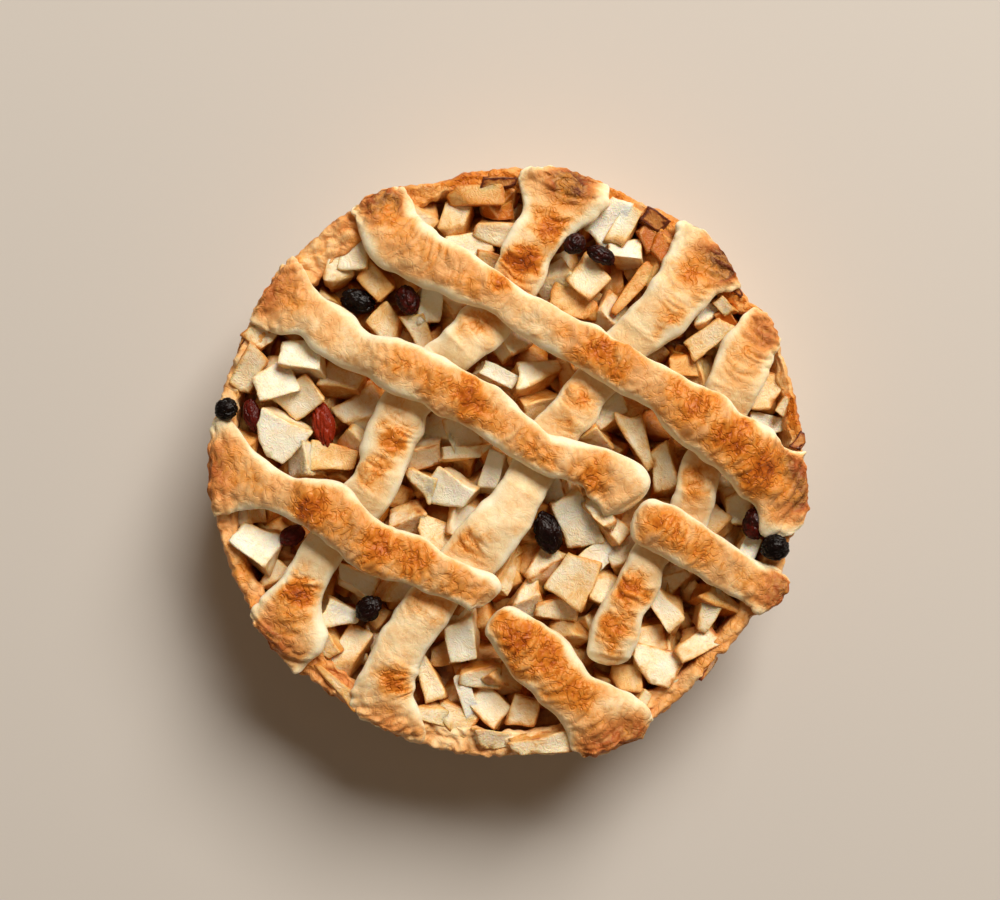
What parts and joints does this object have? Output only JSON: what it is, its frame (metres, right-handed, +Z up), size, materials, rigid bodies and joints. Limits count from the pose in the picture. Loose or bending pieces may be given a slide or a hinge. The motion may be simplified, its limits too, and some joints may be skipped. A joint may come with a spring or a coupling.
{
  "type": "lattice apple pie",
  "caption": "Round deep pie: an upright shortcrust case with a torn golden rim, a heap of diced apple and raisins, and a lattice of thick dough strips over the top.",
  "frame": {"origin": "centre of the case's flat underside", "axes": "+Z up out of the filling; +Y towards the top of the picture and +X towards its right"},
  "size_m": [0.2076, 0.2054, 0.0664],
  "materials": {
    "crust": "baked shortcrust, golden brown, matt and crumbly",
    "filling": "baked apple, pale cream, slightly wet",
    "strip": "egg-washed shortcrust, straw with golden-brown patches",
    "raisin": "wrinkled raisin, dark and glossy"
  },
  "bodies": {
    "root": {"crust": "crust", "filling": "filling", "strip_under_top": "strip", "strip_under_middle": "strip", "strip_under_right": "strip", "strip_over_right": "strip", "strip_over_middle": "strip", "strip_over_middle_end": "strip", "strip_over_left": "strip", "strip_over_left_end": "strip", "raisin_1": "raisin", "raisin_2": "raisin", "raisin_3": "raisin", "raisin_4": "raisin", "raisin_5": "raisin", "raisin_6": "raisin", "raisin_7": "raisin", "raisin_8": "raisin", "raisin_9": "raisin", "raisin_10": "raisin", "raisin_11": "raisin", "raisin_12": "raisin"}
  },
  "joints": []
}
